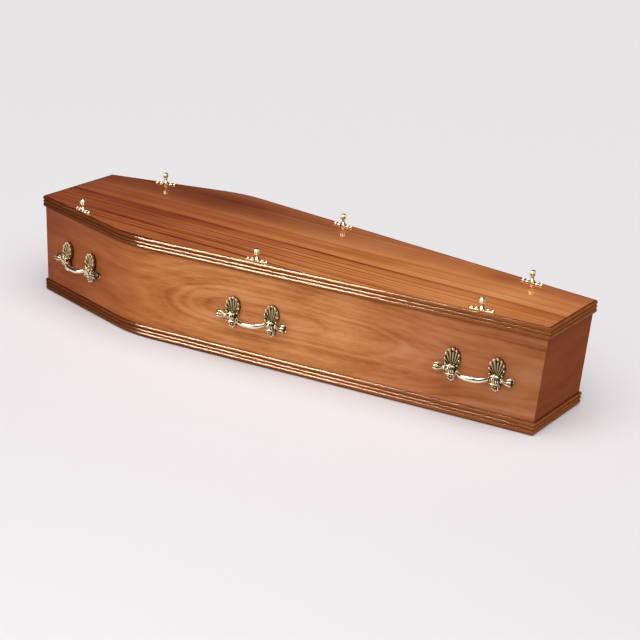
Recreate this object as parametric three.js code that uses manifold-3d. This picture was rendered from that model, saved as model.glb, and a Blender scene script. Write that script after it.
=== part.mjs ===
// A shouldered wooden coffin with a flat lid, reeded mouldings, six bar handles on shell brackets
// and six lid fittings. Millimetres, +Z up, +X towards the foot end, origin under the middle of the base.
import * as THREE from "three";
import Module from "manifold-3d";
import { mergeVertices } from "three/addons/utils/BufferGeometryUtils.js";

// Plan, measured over the lid's outer edge
const LID_LENGTH = 1930;
const HEAD_WIDTH = 346;
const SHOULDER_WIDTH = 602;
const FOOT_WIDTH = 290;
const SHOULDER_FROM_HEAD = 503;
const SHOULDER_BEND_RADIUS = 450;
const BEND_STEPS = 5;

// Height, boards and the lean of the foot end
const COFFIN_HEIGHT = 340;
const SIDE_THICKNESS = 18;
const END_THICKNESS = 18;
const BASE_THICKNESS = 18;
const LID_THICKNESS = 18;
const FOOT_RAKE = 26;
const JOINT_GAP = 0.3;

// Reeded moulding, the same strip round the lid and round the base
const MOULDING_PROUD = 7;
const TOP_REED = 13.5;
const MIDDLE_REED = 10;
const LOWER_REED = 13;
const REED_GROOVE = 0.75;
const REED_DEPTH = 3.2;
const REED_STEPS = 4;
const LID_MOULDING_CLEARANCE = 0.5;
const BASE_MOULDING_LIFT = 3;

// Handles: how far the end ones stand from the lid's ends, and the bar between the brackets
const END_HANDLE_INSET = 220;
const HANDLE_HEIGHT = 152;
const BRACKET_SPACING = 140;
const BAR_STANDOFF = 17;
const BAR_RADIUS = 5.5;
const BAR_MIDDLE_RADIUS = 8.5;
const BAR_BOW = 22;
const BAR_DROP = 7;
const BOW_POWER = 3;
const BAR_CLEARANCE = 0.5;
const BAR_STRAIGHT = 2.5;
const BAR_SIDES = 8;
const BOW_STEPS = 3;

// Trumpet ends of the bars, which open into a shallow cup
const FINIAL_LENGTH = 38;
const FINIAL_RADIUS = 14;
const FINIAL_NECK_RADIUS = 6.4;
const FINIAL_NECK_STEP = 2;
const FINIAL_FLARE = 1.1;
const FINIAL_STEPS = 3;
const FINIAL_FLUTE = 1.1;
const FINIAL_CUP_DEPTH = 7;
const FINIAL_CUP_RADIUS = 4;

// Shell brackets: a fluted fan over a barrel collar, with a leaf below
const SHELL_REACH = 63;
const FAN_OVERLAP = 6;
const SHELL_HALF_ANGLE = 50;
const SHELL_NARROWING = 2.6;
const SHELL_FLUTES = 9;
const SHELL_LOBE = 0.05;
const FLUTE_RELIEF = 1.2;
const SHELL_RIM_DEPTH = 5;
const SHELL_SIDE_LIFT = 8;
const COLLAR_LENGTH = 30;
const COLLAR_RADIUS = 14;
const COLLAR_END_RADIUS = 10.5;
const COLLAR_STEPS = 4;
const LEAF_REACH = 40;
const LEAF_HALF_ANGLE = 30;
const LEAF_LOBES = 3;
const LEAF_LOBE = 0.08;
const LEAF_TAPER = 0.5;
const LEAF_DEPTH = 9;
const FAN_ROWS = 2;

// Lid fittings: a pierced scroll plate and an upright thumbscrew
const FITTING_INSET = 19;
const PLATE_THICKNESS = 4;
const PLATE_BOSS_RADIUS = 11;
const LOOP_WALL = 4.6;
const INNER_LOOP_RADIUS = 9.5;
const INNER_LOOP_PLACE = 18;
const OUTER_LOOP_RADIUS = 8;
const OUTER_LOOP_PLACE = 33;
const LOOP_STEPS = 3;
const HOLE_SIDES = 6;
const SCREW_HEIGHT = 36;
const SCREW_SKIRT_RADIUS = 9;
const SCREW_SKIRT_EDGE = 1.5;
const SCREW_SKIRT_HEIGHT = 8;
const SCREW_NECK_RADIUS = 4.2;
const SCREW_SIDES = 8;
const KNOB_RADIUS = 9.5;
const KNOB_HEIGHT = 20;
const KNOB_START_ANGLE = -65;
const KNOB_STEPS = 4;

const wasm = await Module();
wasm.setup();

const mahogany = { color: 0xb06a3c, roughness: 0.18, metalness: 0 };
const darkMahogany = { color: 0x8a4a24, roughness: 0.22, metalness: 0 };
const brass = { color: 0xe0c88e, roughness: 0.2, metalness: 1 };

// Closed meshes

// Turns a closed mesh's faces outward, going by the sign of its volume.
function facedOutward(geometry) {
  const corners = geometry.getAttribute("position");
  const index = geometry.getIndex();
  const [a, b, c] = [new THREE.Vector3(), new THREE.Vector3(), new THREE.Vector3()];
  let volume = 0;
  for (let i = 0; i < index.count; i += 3) {
    a.fromBufferAttribute(corners, index.getX(i));
    b.fromBufferAttribute(corners, index.getX(i + 1));
    c.fromBufferAttribute(corners, index.getX(i + 2));
    volume += a.dot(b.cross(c));
  }
  if (volume < 0) {
    for (let i = 0; i < index.count; i += 3) {
      const second = index.getX(i + 1);
      index.setX(i + 1, index.getX(i + 2));
      index.setX(i + 2, second);
    }
  }
  return geometry;
}

function meshOf(points, faces) {
  const geometry = new THREE.BufferGeometry();
  const numbers = points.flatMap((point) => point.toArray());
  geometry.setAttribute("position", new THREE.Float32BufferAttribute(numbers, 3));
  geometry.setIndex(faces.flat());
  return facedOutward(geometry);
}

// Skins a row of rings. Each ring has as many points as the flat outline, which closes both ends.
function loft(outline, rings) {
  const turned = THREE.ShapeUtils.isClockWise(outline);
  const flat = turned ? [...outline].reverse() : outline;
  const rows = turned ? rings.map((ring) => [...ring].reverse()) : rings;
  const count = flat.length;
  const last = (rows.length - 1) * count;
  const faces = [];
  for (let row = 0; row < last; row += count) {
    for (let k = 0; k < count; k += 1) {
      const here = row + k;
      const next = row + ((k + 1) % count);
      faces.push([here, next, next + count], [here, next + count, here + count]);
    }
  }
  for (const [a, b, c] of THREE.ShapeUtils.triangulateShape(flat, [])) {
    faces.push([a, c, b], [last + a, last + b, last + c]);
  }
  return meshOf(rows.flat(), faces);
}

function solid(geometry) {
  const bare = geometry.clone();
  bare.deleteAttribute("normal");
  bare.deleteAttribute("uv");
  const merged = mergeVertices(bare, 1e-4);
  const vertProperties = new Float32Array(merged.getAttribute("position").array);
  const triVerts = new Uint32Array(merged.getIndex().array);
  return new wasm.Manifold(new wasm.Mesh({ numProp: 3, vertProperties, triVerts }));
}

function geometryOf(body) {
  const mesh = body.getMesh();
  const geometry = new THREE.BufferGeometry();
  geometry.setAttribute("position", new THREE.BufferAttribute(new Float32Array(mesh.vertProperties), 3));
  geometry.setIndex(new THREE.BufferAttribute(new Uint32Array(mesh.triVerts), 1));
  return geometry;
}

// A round rod along X, with its facets turned the way every rod and bore here has them
function rodAlongX(radius, length) {
  return new THREE.CylinderGeometry(radius, radius, length, BAR_SIDES).rotateZ(Math.PI / 2);
}

// Plan of the coffin, every line given by its inset from the lid's outer edge

const headX = -LID_LENGTH / 2;
const footX = LID_LENGTH / 2;
const shoulderX = headX + SHOULDER_FROM_HEAD;
const headSlope = (SHOULDER_WIDTH - HEAD_WIDTH) / 2 / SHOULDER_FROM_HEAD;
const footSlope = (FOOT_WIDTH - SHOULDER_WIDTH) / 2 / (footX - shoulderX);

function headHalf(x, inset) {
  return HEAD_WIDTH / 2 + (x - headX) * headSlope - inset * Math.hypot(1, headSlope);
}

function footHalf(x, inset) {
  return FOOT_WIDTH / 2 + (x - footX) * footSlope - inset * Math.hypot(1, footSlope);
}

const bendTurn = Math.hypot(1, headSlope) - Math.hypot(1, footSlope);
const bendX = shoulderX + (SHOULDER_BEND_RADIUS * bendTurn) / (headSlope - footSlope);
const bendY = headHalf(bendX, SHOULDER_BEND_RADIUS);

// One long side from head to foot: straight, round the shoulder, straight. side is 1 or -1.
function sidePath(inset, startX, endX, side) {
  const radius = SHOULDER_BEND_RADIUS - inset;
  const path = [new THREE.Vector2(startX, side * headHalf(startX, inset))];
  for (let step = 0; step <= BEND_STEPS; step += 1) {
    const turn = THREE.MathUtils.lerp(Math.atan(headSlope), Math.atan(footSlope), step / BEND_STEPS);
    const x = bendX - radius * Math.sin(turn);
    path.push(new THREE.Vector2(x, side * (bendY + radius * Math.cos(turn))));
  }
  path.push(new THREE.Vector2(endX, side * footHalf(endX, inset)));
  return path;
}

// Levels and the leaning foot end

const lidUnderside = COFFIN_HEIGHT - LID_THICKNESS;
const wallBottom = BASE_THICKNESS + JOINT_GAP;
const wallTop = lidUnderside - JOINT_GAP;
const wallInset = MOULDING_PROUD;
const innerInset = wallInset + SIDE_THICKNESS;

function rakeAt(z) {
  return FOOT_RAKE * (1 - z / lidUnderside);
}

function wallFootX(z) {
  return footX - wallInset - rakeAt(z);
}

// Boards

// A flat board with the coffin's outline
function outlineBoard(inset, startX, endX, bottom, thickness) {
  const right = sidePath(inset, startX, endX, -1);
  const left = sidePath(inset, startX, endX, 1).reverse();
  const shape = new THREE.Shape([...right, ...left]);
  const geometry = new THREE.ExtrudeGeometry(shape, { depth: thickness, bevelEnabled: false });
  return geometry.translate(0, 0, bottom);
}

// A long side: one board bent round the shoulder, its foot end cut to the lean
function sideBoard(side) {
  const section = [
    new THREE.Vector2(wallInset, wallBottom),
    new THREE.Vector2(innerInset, wallBottom),
    new THREE.Vector2(innerInset, wallTop),
    new THREE.Vector2(wallInset, wallTop),
  ];
  return sweepAlongSide(section, side, () => headX + wallInset, (inset, z) => wallFootX(z));
}

// Sweeps a section of (inset, z) along one long side, between two ends given for each of its points
function sweepAlongSide(section, side, startAt, endAt) {
  const paths = section.map(({ x: inset, y: z }) => {
    const path = sidePath(inset, startAt(inset, z), endAt(inset, z), side);
    return path.map((point) => new THREE.Vector3(point.x, point.y, z));
  });
  const rings = paths[0].map((unused, station) => paths.map((path) => path[station]));
  return loft(section, rings);
}

// Sweeps a section of (x, z) straight across the coffin, as far as halfAt allows at each of its points
function sweepAcross(section, halfAt) {
  const rings = [-1, 1].map((side) =>
    section.map(({ x, y: z }, k) => new THREE.Vector3(x, side * halfAt(x, k), z)),
  );
  return loft(section, rings);
}

function headBoard() {
  const outer = headX + wallInset;
  const section = [
    new THREE.Vector2(outer, wallBottom),
    new THREE.Vector2(outer + END_THICKNESS, wallBottom),
    new THREE.Vector2(outer + END_THICKNESS, wallTop),
    new THREE.Vector2(outer, wallTop),
  ];
  return sweepAcross(section, (x) => headHalf(x, innerInset + JOINT_GAP));
}

function footBoard() {
  const section = [
    new THREE.Vector2(wallFootX(wallBottom), wallBottom),
    new THREE.Vector2(wallFootX(wallTop), wallTop),
    new THREE.Vector2(wallFootX(wallTop) - END_THICKNESS, wallTop),
    new THREE.Vector2(wallFootX(wallBottom) - END_THICKNESS, wallBottom),
  ];
  return sweepAcross(section, (x) => footHalf(x, innerInset + JOINT_GAP));
}

// Mouldings

const mouldingHeight = TOP_REED + MIDDLE_REED + LOWER_REED + 2 * REED_GROOVE;
const lidMouldingBack = MOULDING_PROUD - LID_MOULDING_CLEARANCE;
const baseMouldingBack = MOULDING_PROUD - JOINT_GAP;

// Section of the strip as (inset, z): three reeds with grooves between, and a flat back
function mouldingSection(top, back) {
  const section = [];
  let edge = top;
  for (const height of [TOP_REED, MIDDLE_REED, LOWER_REED]) {
    for (let step = 0; step <= REED_STEPS; step += 1) {
      const angle = (Math.PI * step) / REED_STEPS;
      const drop = (height * (1 - Math.cos(angle))) / 2;
      section.push(new THREE.Vector2(REED_DEPTH * (1 - Math.sin(angle)), edge - drop));
    }
    edge -= height + REED_GROOVE;
  }
  section.push(new THREE.Vector2(back, top - mouldingHeight), new THREE.Vector2(back, top));
  return section;
}

const lidMoulding = {
  section: mouldingSection(COFFIN_HEIGHT, lidMouldingBack),
  headAt: (inset) => headX + inset,
  footAt: (inset) => footX - inset,
};

const baseMoulding = {
  section: mouldingSection(BASE_MOULDING_LIFT + mouldingHeight, baseMouldingBack),
  headAt: (inset) => headX + inset,
  footAt: (inset, z) => footX - inset - rakeAt(z),
};

function sideMoulding(moulding, side) {
  return sweepAlongSide(moulding.section, side, moulding.headAt, moulding.footAt);
}

// A short end strip, mitred into the long ones
function endMoulding(moulding, endAt, halfAt) {
  const section = moulding.section.map(({ x: inset, y: z }) => new THREE.Vector2(endAt(inset, z), z));
  return sweepAcross(section, (x, k) => halfAt(x, moulding.section[k].x) - JOINT_GAP);
}

// Handles, in a frame of their own: X along the wall, Y out of it, Z up, origin on the wall at bar height

const collarOuterEnd = (BRACKET_SPACING + COLLAR_LENGTH) / 2;
const collarInnerEnd = (BRACKET_SPACING - COLLAR_LENGTH) / 2;

// A fluted fan that stands on the wall: a corner just past the bar, then rows of points out to its lobed rim
function fan(lobes, halfAngle, rimAt, depthAt, direction) {
  const rows = FAN_ROWS;
  const columns = 2 * lobes;
  const points = [new THREE.Vector3(0, BAR_STANDOFF, 0), new THREE.Vector3(0, JOINT_GAP, 0)];
  const at = (row, column) => 2 + row * (columns + 1) + column;
  for (let row = 0; row <= rows; row += 1) {
    const reach = Math.min(row + 1, rows) / rows;
    for (let column = 0; column <= columns; column += 1) {
      const across = (2 * column) / columns - 1;
      const angle = across * THREE.MathUtils.degToRad(halfAngle);
      const crest = column % 2 === 1 ? 1 : -1;
      const radius = rimAt(angle, crest) * reach;
      const depth = row < rows ? depthAt(reach, across, crest) : JOINT_GAP;
      points.push(new THREE.Vector3(radius * Math.sin(angle), depth, direction * radius * Math.cos(angle)));
    }
  }
  for (const point of points) {
    point.z -= direction * FAN_OVERLAP;
  }
  const faces = [];
  for (let column = 0; column < columns; column += 1) {
    faces.push([0, at(0, column), at(0, column + 1)], [1, at(rows, column + 1), at(rows, column)]);
    for (let row = 0; row < rows; row += 1) {
      const [here, right] = [at(row, column), at(row, column + 1)];
      const [above, corner] = [at(row + 1, column), at(row + 1, column + 1)];
      faces.push([here, above, corner], [here, corner, right]);
    }
  }
  for (let row = 0; row < rows; row += 1) {
    faces.push([1, at(row + 1, 0), at(row, 0)], [1, at(row, columns), at(row + 1, columns)]);
  }
  faces.push([1, at(0, 0), 0], [1, 0, at(0, columns)]);
  return meshOf(points, faces);
}

function shellFan() {
  const reach = SHELL_REACH + FAN_OVERLAP;
  const rimAt = (angle, crest) =>
    reach * Math.cos(angle) ** SHELL_NARROWING * (1 - (SHELL_LOBE * (1 - crest)) / 2);
  const depthAt = (share, across, crest) => {
    const sweep = (1 - share) ** 2 * (BAR_STANDOFF - SHELL_RIM_DEPTH);
    const lift = SHELL_SIDE_LIFT * across ** 2 * share;
    return SHELL_RIM_DEPTH + sweep + lift + FLUTE_RELIEF * crest * share;
  };
  return fan(SHELL_FLUTES, SHELL_HALF_ANGLE, rimAt, depthAt, 1);
}

function hangingLeaf() {
  const edge = THREE.MathUtils.degToRad(LEAF_HALF_ANGLE);
  const reach = LEAF_REACH + FAN_OVERLAP;
  const rimAt = (angle, crest) =>
    reach * (1 - LEAF_TAPER * (angle / edge) ** 2) * (1 - (LEAF_LOBE * (1 - crest)) / 2);
  const depthAt = (share, across, crest) =>
    LEAF_DEPTH + (1 - share) * (BAR_STANDOFF - LEAF_DEPTH) + FLUTE_RELIEF * crest * share;
  return fan(LEAF_LOBES, LEAF_HALF_ANGLE, rimAt, depthAt, -1);
}

function collarBarrel() {
  const half = COLLAR_LENGTH / 2;
  const profile = [new THREE.Vector2(0, -half)];
  for (let step = 0; step <= COLLAR_STEPS; step += 1) {
    const share = step / COLLAR_STEPS;
    const radius = THREE.MathUtils.lerp(COLLAR_END_RADIUS, COLLAR_RADIUS, Math.sin(Math.PI * share));
    profile.push(new THREE.Vector2(radius, COLLAR_LENGTH * share - half));
  }
  profile.push(new THREE.Vector2(0, half));
  return new THREE.LatheGeometry(profile, BAR_SIDES).rotateZ(Math.PI / 2).translate(0, BAR_STANDOFF, 0);
}

// One cast bracket: shell, leaf and collar in one, bored for the bar
function shellBracket() {
  const bore = rodAlongX(BAR_RADIUS + BAR_CLEARANCE, 2 * COLLAR_LENGTH).translate(0, BAR_STANDOFF, 0);
  const cast = solid(shellFan()).add(solid(hangingLeaf())).add(solid(collarBarrel()));
  return geometryOf(cast.subtract(solid(bore)));
}

const bowEnd = collarInnerEnd - BAR_STRAIGHT;

// How far the bar has bowed at a place along it: 0 in and just beside the collars, 1 in the middle
function bowAt(along) {
  return Math.max(0, 1 - Math.abs(along / bowEnd) ** BOW_POWER);
}

function barPoint(along) {
  return new THREE.Vector3(along, BAR_STANDOFF + BAR_BOW * bowAt(along), -BAR_DROP * bowAt(along));
}

// A ring of points square to the bar, every second one drawn in where the bar is fluted
function barRing(along, radius, flute) {
  const centre = barPoint(along);
  const tangent = barPoint(along + 1).sub(barPoint(along - 1)).normalize();
  const out = new THREE.Vector3(0, 1, 0).addScaledVector(tangent, -tangent.y).normalize();
  const up = new THREE.Vector3().crossVectors(tangent, out);
  return Array.from({ length: BAR_SIDES }, (unused, k) => {
    const angle = (2 * Math.PI * k) / BAR_SIDES;
    const reach = radius - (k % 2) * flute;
    return centre
      .clone()
      .addScaledVector(out, reach * Math.sin(angle))
      .addScaledVector(up, reach * Math.cos(angle));
  });
}

// Half of the bar from its middle outward: the bow, the collar and the trumpet with its cup
function halfBar() {
  const neck = collarOuterEnd + FINIAL_NECK_STEP;
  const tip = collarOuterEnd + FINIAL_LENGTH;
  const rings = [];
  for (let step = 0; step <= BOW_STEPS; step += 1) {
    const along = (bowEnd * step) / BOW_STEPS;
    rings.push([along, THREE.MathUtils.lerp(BAR_RADIUS, BAR_MIDDLE_RADIUS, bowAt(along)), 0]);
  }
  rings.push([collarOuterEnd + FINIAL_NECK_STEP / 2, BAR_RADIUS, 0]);
  for (let step = 0; step <= FINIAL_STEPS; step += 1) {
    const share = step / FINIAL_STEPS;
    const radius = THREE.MathUtils.lerp(FINIAL_NECK_RADIUS, FINIAL_RADIUS, share ** FINIAL_FLARE);
    rings.push([THREE.MathUtils.lerp(neck, tip, share), radius, FINIAL_FLUTE * share]);
  }
  rings.push([tip - FINIAL_CUP_DEPTH, FINIAL_CUP_RADIUS, 0]);
  return rings;
}

function handleBar() {
  const half = halfBar();
  const mirrored = half.slice(1).map(([along, radius, flute]) => [-along, radius, flute]);
  const rings = [...mirrored.reverse(), ...half].map((ring) => barRing(...ring));
  const outline = rings[0].map((point) => new THREE.Vector2(point.y, point.z));
  return loft(outline, rings);
}

// Lid fittings, in a frame of their own: X along the lid's edge, Z up, origin on the lid

// Angle at which a circle meets its neighbour, seen from its own middle and off the line between them
function meetingAngle(radius, otherRadius, distance) {
  return Math.acos((radius ** 2 + distance ** 2 - otherRadius ** 2) / (2 * radius * distance));
}

// A row of round lobes run together, two loops each side of a middle boss, each loop pierced
function scrollPlate() {
  const lobes = [
    [-OUTER_LOOP_PLACE, OUTER_LOOP_RADIUS],
    [-INNER_LOOP_PLACE, INNER_LOOP_RADIUS],
    [0, PLATE_BOSS_RADIUS],
    [INNER_LOOP_PLACE, INNER_LOOP_RADIUS],
    [OUTER_LOOP_PLACE, OUTER_LOOP_RADIUS],
  ];
  const edge = [];
  lobes.forEach(([x, radius], k) => {
    const [before, after] = [lobes[k - 1], lobes[k + 1]];
    const start = before ? Math.PI - meetingAngle(radius, before[1], x - before[0]) : Math.PI;
    const end = after ? meetingAngle(radius, after[1], after[0] - x) : 0;
    for (let step = k === 0 ? 0 : 1; step <= LOOP_STEPS; step += 1) {
      const angle = THREE.MathUtils.lerp(start, end, step / LOOP_STEPS);
      edge.push(new THREE.Vector2(x + radius * Math.cos(angle), radius * Math.sin(angle)));
    }
  });
  const otherEdge = edge.slice(1, -1).map((point) => new THREE.Vector2(point.x, -point.y));
  const shape = new THREE.Shape([...edge, ...otherEdge.reverse()]);
  for (const [x, radius] of lobes.filter(([place]) => place !== 0)) {
    const hole = Array.from({ length: HOLE_SIDES }, (unused, k) => {
      const angle = (2 * Math.PI * k) / HOLE_SIDES;
      const reach = radius - LOOP_WALL;
      return new THREE.Vector2(x + reach * Math.cos(angle), reach * Math.sin(angle));
    });
    shape.holes.push(new THREE.Path(hole));
  }
  const geometry = new THREE.ExtrudeGeometry(shape, { depth: PLATE_THICKNESS, bevelEnabled: false });
  return geometry.translate(0, 0, JOINT_GAP);
}

// The thumbscrew: a flared skirt, a slim neck and a rounded knob
function thumbscrew() {
  const profile = [
    new THREE.Vector2(0, 0),
    new THREE.Vector2(SCREW_SKIRT_RADIUS, 0),
    new THREE.Vector2(SCREW_SKIRT_RADIUS, SCREW_SKIRT_EDGE),
    new THREE.Vector2(SCREW_NECK_RADIUS, SCREW_SKIRT_HEIGHT),
  ];
  for (let step = 0; step <= KNOB_STEPS; step += 1) {
    const angle = THREE.MathUtils.degToRad(THREE.MathUtils.lerp(KNOB_START_ANGLE, 90, step / KNOB_STEPS));
    const height = SCREW_HEIGHT - (KNOB_HEIGHT / 2) * (1 - Math.sin(angle));
    profile.push(new THREE.Vector2(step < KNOB_STEPS ? KNOB_RADIUS * Math.cos(angle) : 0, height));
  }
  const geometry = new THREE.LatheGeometry(profile, SCREW_SIDES).rotateX(Math.PI / 2);
  return geometry.translate(0, 0, PLATE_THICKNESS + 2 * JOINT_GAP);
}

// Assembly

const coffin = new THREE.Group();

function piece(name, geometry, finish) {
  const mesh = new THREE.Mesh(geometry, new THREE.MeshStandardMaterial({ ...finish, flatShading: true }));
  mesh.name = name;
  return mesh;
}

// A group on one long side at x: its Y points out of the coffin, square to the side
function placeOnSide(x, side, inset, z) {
  const [halfAt, slope] = x < shoulderX ? [headHalf, headSlope] : [footHalf, footSlope];
  const place = new THREE.Group();
  place.position.set(x, side * halfAt(x, inset), z);
  place.rotation.z = side > 0 ? Math.atan(slope) : Math.PI - Math.atan(slope);
  return place;
}

const sides = { right: -1, left: 1 };
const handleStations = {
  head: headX + END_HANDLE_INSET,
  middle: (headX + footX) / 2,
  foot: footX - END_HANDLE_INSET,
};

const baseBoard = outlineBoard(wallInset, headX + wallInset, wallFootX(0), 0, BASE_THICKNESS);
coffin.add(piece("base_board", baseBoard, mahogany));
coffin.add(piece("head_end_board", headBoard(), mahogany));
coffin.add(piece("foot_end_board", footBoard(), mahogany));

const lidInset = lidMouldingBack + JOINT_GAP;
const lidBoard = outlineBoard(lidInset, headX + lidInset, footX - lidInset, lidUnderside, LID_THICKNESS);
coffin.add(piece("lid_board", lidBoard, mahogany));

for (const [sideName, side] of Object.entries(sides)) {
  coffin.add(piece(`side_board_${sideName}`, sideBoard(side), mahogany));
}

for (const [level, moulding] of Object.entries({ base: baseMoulding, lid: lidMoulding })) {
  for (const [sideName, side] of Object.entries(sides)) {
    coffin.add(piece(`${level}_moulding_${sideName}`, sideMoulding(moulding, side), darkMahogany));
  }
  coffin.add(piece(`${level}_moulding_head`, endMoulding(moulding, moulding.headAt, headHalf), darkMahogany));
  coffin.add(piece(`${level}_moulding_foot`, endMoulding(moulding, moulding.footAt, footHalf), darkMahogany));
}

for (const [sideName, side] of Object.entries(sides)) {
  for (const [stationName, x] of Object.entries(handleStations)) {
    const where = `${sideName}_${stationName}`;
    const handle = placeOnSide(x, side, wallInset, HANDLE_HEIGHT);
    handle.add(piece(`handle_bar_${where}`, handleBar(), brass));
    for (const [end, direction] of [["a", -1], ["b", 1]]) {
      const bracket = piece(`handle_bracket_${where}_${end}`, shellBracket(), brass);
      bracket.position.x = (direction * BRACKET_SPACING) / 2;
      handle.add(bracket);
    }
    const fitting = placeOnSide(x, side, FITTING_INSET, COFFIN_HEIGHT);
    fitting.add(piece(`lid_plate_${where}`, scrollPlate(), brass));
    fitting.add(piece(`lid_screw_${where}`, thumbscrew(), brass));
    coffin.add(handle, fitting);
  }
}

export default coffin;
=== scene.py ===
# %% [markdown]
# # A shouldered coffin in lacquered mahogany with brass furniture
# The coffin is a hollow box: a base board, two long sides bent round at the shoulder, two end
# boards, and a flat lid. Reeded mouldings run round the lid and round the base. Six bar handles on
# shell brackets hang on the sides, and six thumbscrews on scroll plates stand along the lid.
# The boards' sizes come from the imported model, so the first cell loads it and keeps its box.

# %% Load the fixed frame
import math

import bmesh
import bpy
from mathutils import Matrix, Vector


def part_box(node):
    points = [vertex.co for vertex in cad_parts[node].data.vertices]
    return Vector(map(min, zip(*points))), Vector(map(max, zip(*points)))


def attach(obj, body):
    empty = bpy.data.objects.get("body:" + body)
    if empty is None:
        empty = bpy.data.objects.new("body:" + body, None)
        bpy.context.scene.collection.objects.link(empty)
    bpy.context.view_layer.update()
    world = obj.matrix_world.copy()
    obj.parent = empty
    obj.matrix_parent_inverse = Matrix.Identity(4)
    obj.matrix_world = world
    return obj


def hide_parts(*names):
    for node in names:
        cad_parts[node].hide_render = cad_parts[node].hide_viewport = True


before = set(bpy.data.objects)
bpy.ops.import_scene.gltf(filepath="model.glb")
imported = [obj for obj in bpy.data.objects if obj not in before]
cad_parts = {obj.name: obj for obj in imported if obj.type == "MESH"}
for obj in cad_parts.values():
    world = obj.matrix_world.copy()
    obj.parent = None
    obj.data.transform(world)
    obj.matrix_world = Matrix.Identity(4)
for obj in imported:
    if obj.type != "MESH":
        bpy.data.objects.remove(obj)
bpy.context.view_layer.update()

MM = 0.001

# %% [markdown]
# ## The camera
# The photograph looks down on the foot end and the right side from a little above head height.
# The camera's place, its turn and its lens were fitted to the coffin's corners. A camera looks down
# its own -Z axis, so it is turned upright first, then tilted down, then turned to its heading.

# %% Place the camera
CAMERA_PLACE = Vector((2.7831, -3.8781, 1.9440))
CAMERA_HEADING = math.radians(124.861)
CAMERA_TILT_DOWN = math.radians(21.3436)
CAMERA_ROLL = math.radians(1.9479)
CAMERA_LENS_MM = 89.30
SENSOR_WIDTH_MM = 36.0

camera_data = bpy.data.cameras.new("camera")
camera_data.sensor_width = SENSOR_WIDTH_MM
camera_data.lens = CAMERA_LENS_MM
camera_data.clip_end = 200.0
camera = bpy.data.objects.new("camera", camera_data)
heading = Matrix.Rotation(CAMERA_HEADING - math.pi / 2, 4, "Z")
tilt = Matrix.Rotation(math.pi / 2 - CAMERA_TILT_DOWN, 4, "X")
roll = Matrix.Rotation(CAMERA_ROLL, 4, "Z")
camera.matrix_world = Matrix.Translation(CAMERA_PLACE) @ heading @ tilt @ roll
bpy.context.collection.objects.link(camera)
bpy.context.scene.camera = camera
print("camera at", tuple(CAMERA_PLACE), "lens", CAMERA_LENS_MM, "mm")

# %% [markdown]
# ## Small helpers
# Colours are written as sRGB hex values, the way a paint chart gives them, and turned to the linear
# values that a shader works with. Every node is added by one function, which takes the node's own
# options and what goes into its sockets.

# %% Colours and nodes


def colour(hex_value):
    """Turns an sRGB hex value into a linear colour with alpha."""
    channels = [int(hex_value[i:i + 2], 16) / 255 for i in (1, 3, 5)]
    linear = [c / 12.92 if c <= 0.04045 else ((c + 0.055) / 1.055) ** 2.4 for c in channels]
    return (*linear, 1.0)


def set_inputs(node, inputs):
    """Sets a node's sockets, each to a number, a colour or another node's output."""
    for name, value in inputs.items():
        if isinstance(value, bpy.types.NodeSocket):
            node.id_data.links.new(value, node.inputs[name])
        else:
            node.inputs[name].default_value = value


def add_node(material, kind, inputs=None, **options):
    """Adds a node with its own options, and sets its sockets."""
    node = material.node_tree.nodes.new(kind)
    for name, value in options.items():
        setattr(node, name, value)
    set_inputs(node, inputs or {})
    return node


def new_material(name):
    """Makes an empty material and gives it back with its shader."""
    material = bpy.data.materials.new(name)
    material.use_nodes = True
    material.node_tree.nodes.clear()
    shader = add_node(material, "ShaderNodeBsdfPrincipled")
    add_node(material, "ShaderNodeOutputMaterial", {"Surface": shader.outputs[0]})
    return material, shader


def set_ramp(node, stops):
    """Gives a colour ramp its stops, each a place and a hex colour."""
    ramp = node.color_ramp
    while len(ramp.elements) > 1:
        ramp.elements.remove(ramp.elements[-1])
    ramp.elements[0].position, ramp.elements[0].color = stops[0][0], colour(stops[0][1])
    for place, hex_value in stops[1:]:
        ramp.elements.new(place).color = colour(hex_value)


print("helpers ready")

# %% [markdown]
# ## The coffin's plan
# Every long line of the coffin keeps its distance from the lid's outer edge, which is straight
# from the head to the shoulder, bends round it, and runs straight to the foot. So the plan is
# two slopes and a bend, and a line is named by its inset from that edge.

# %% Lines of the plan
LID_LENGTH = 1930
HEAD_WIDTH = 346
SHOULDER_WIDTH = 602
FOOT_WIDTH = 290
COFFIN_HEIGHT = 340
SHOULDER_FROM_HEAD = 503
BEND_RADIUS = 450
BEND_STEPS = 24
HEAD_X = -LID_LENGTH / 2
FOOT_X = LID_LENGTH / 2
SHOULDER_X = HEAD_X + SHOULDER_FROM_HEAD
HEAD_SLOPE = (SHOULDER_WIDTH - HEAD_WIDTH) / 2 / SHOULDER_FROM_HEAD
FOOT_SLOPE = (FOOT_WIDTH - SHOULDER_WIDTH) / 2 / (FOOT_X - SHOULDER_X)


def head_half(x, inset):
    """Half width, in mm, of the line at this inset, from the head to the shoulder."""
    return HEAD_WIDTH / 2 + (x - HEAD_X) * HEAD_SLOPE - inset * math.hypot(1, HEAD_SLOPE)


def foot_half(x, inset):
    """Half width, in mm, of the line at this inset, from the shoulder to the foot."""
    return FOOT_WIDTH / 2 + (x - FOOT_X) * FOOT_SLOPE - inset * math.hypot(1, FOOT_SLOPE)


bend_turn = math.hypot(1, HEAD_SLOPE) - math.hypot(1, FOOT_SLOPE)
BEND_X = SHOULDER_X + BEND_RADIUS * bend_turn / (HEAD_SLOPE - FOOT_SLOPE)
BEND_Y = head_half(BEND_X, BEND_RADIUS)
HEAD_TURN = math.atan(HEAD_SLOPE)
FOOT_TURN = math.atan(FOOT_SLOPE)
bend_angle = math.degrees(HEAD_TURN - FOOT_TURN)
print(f"shoulder bend of {bend_angle:.1f} degrees round x = {BEND_X:.0f} mm")

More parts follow.
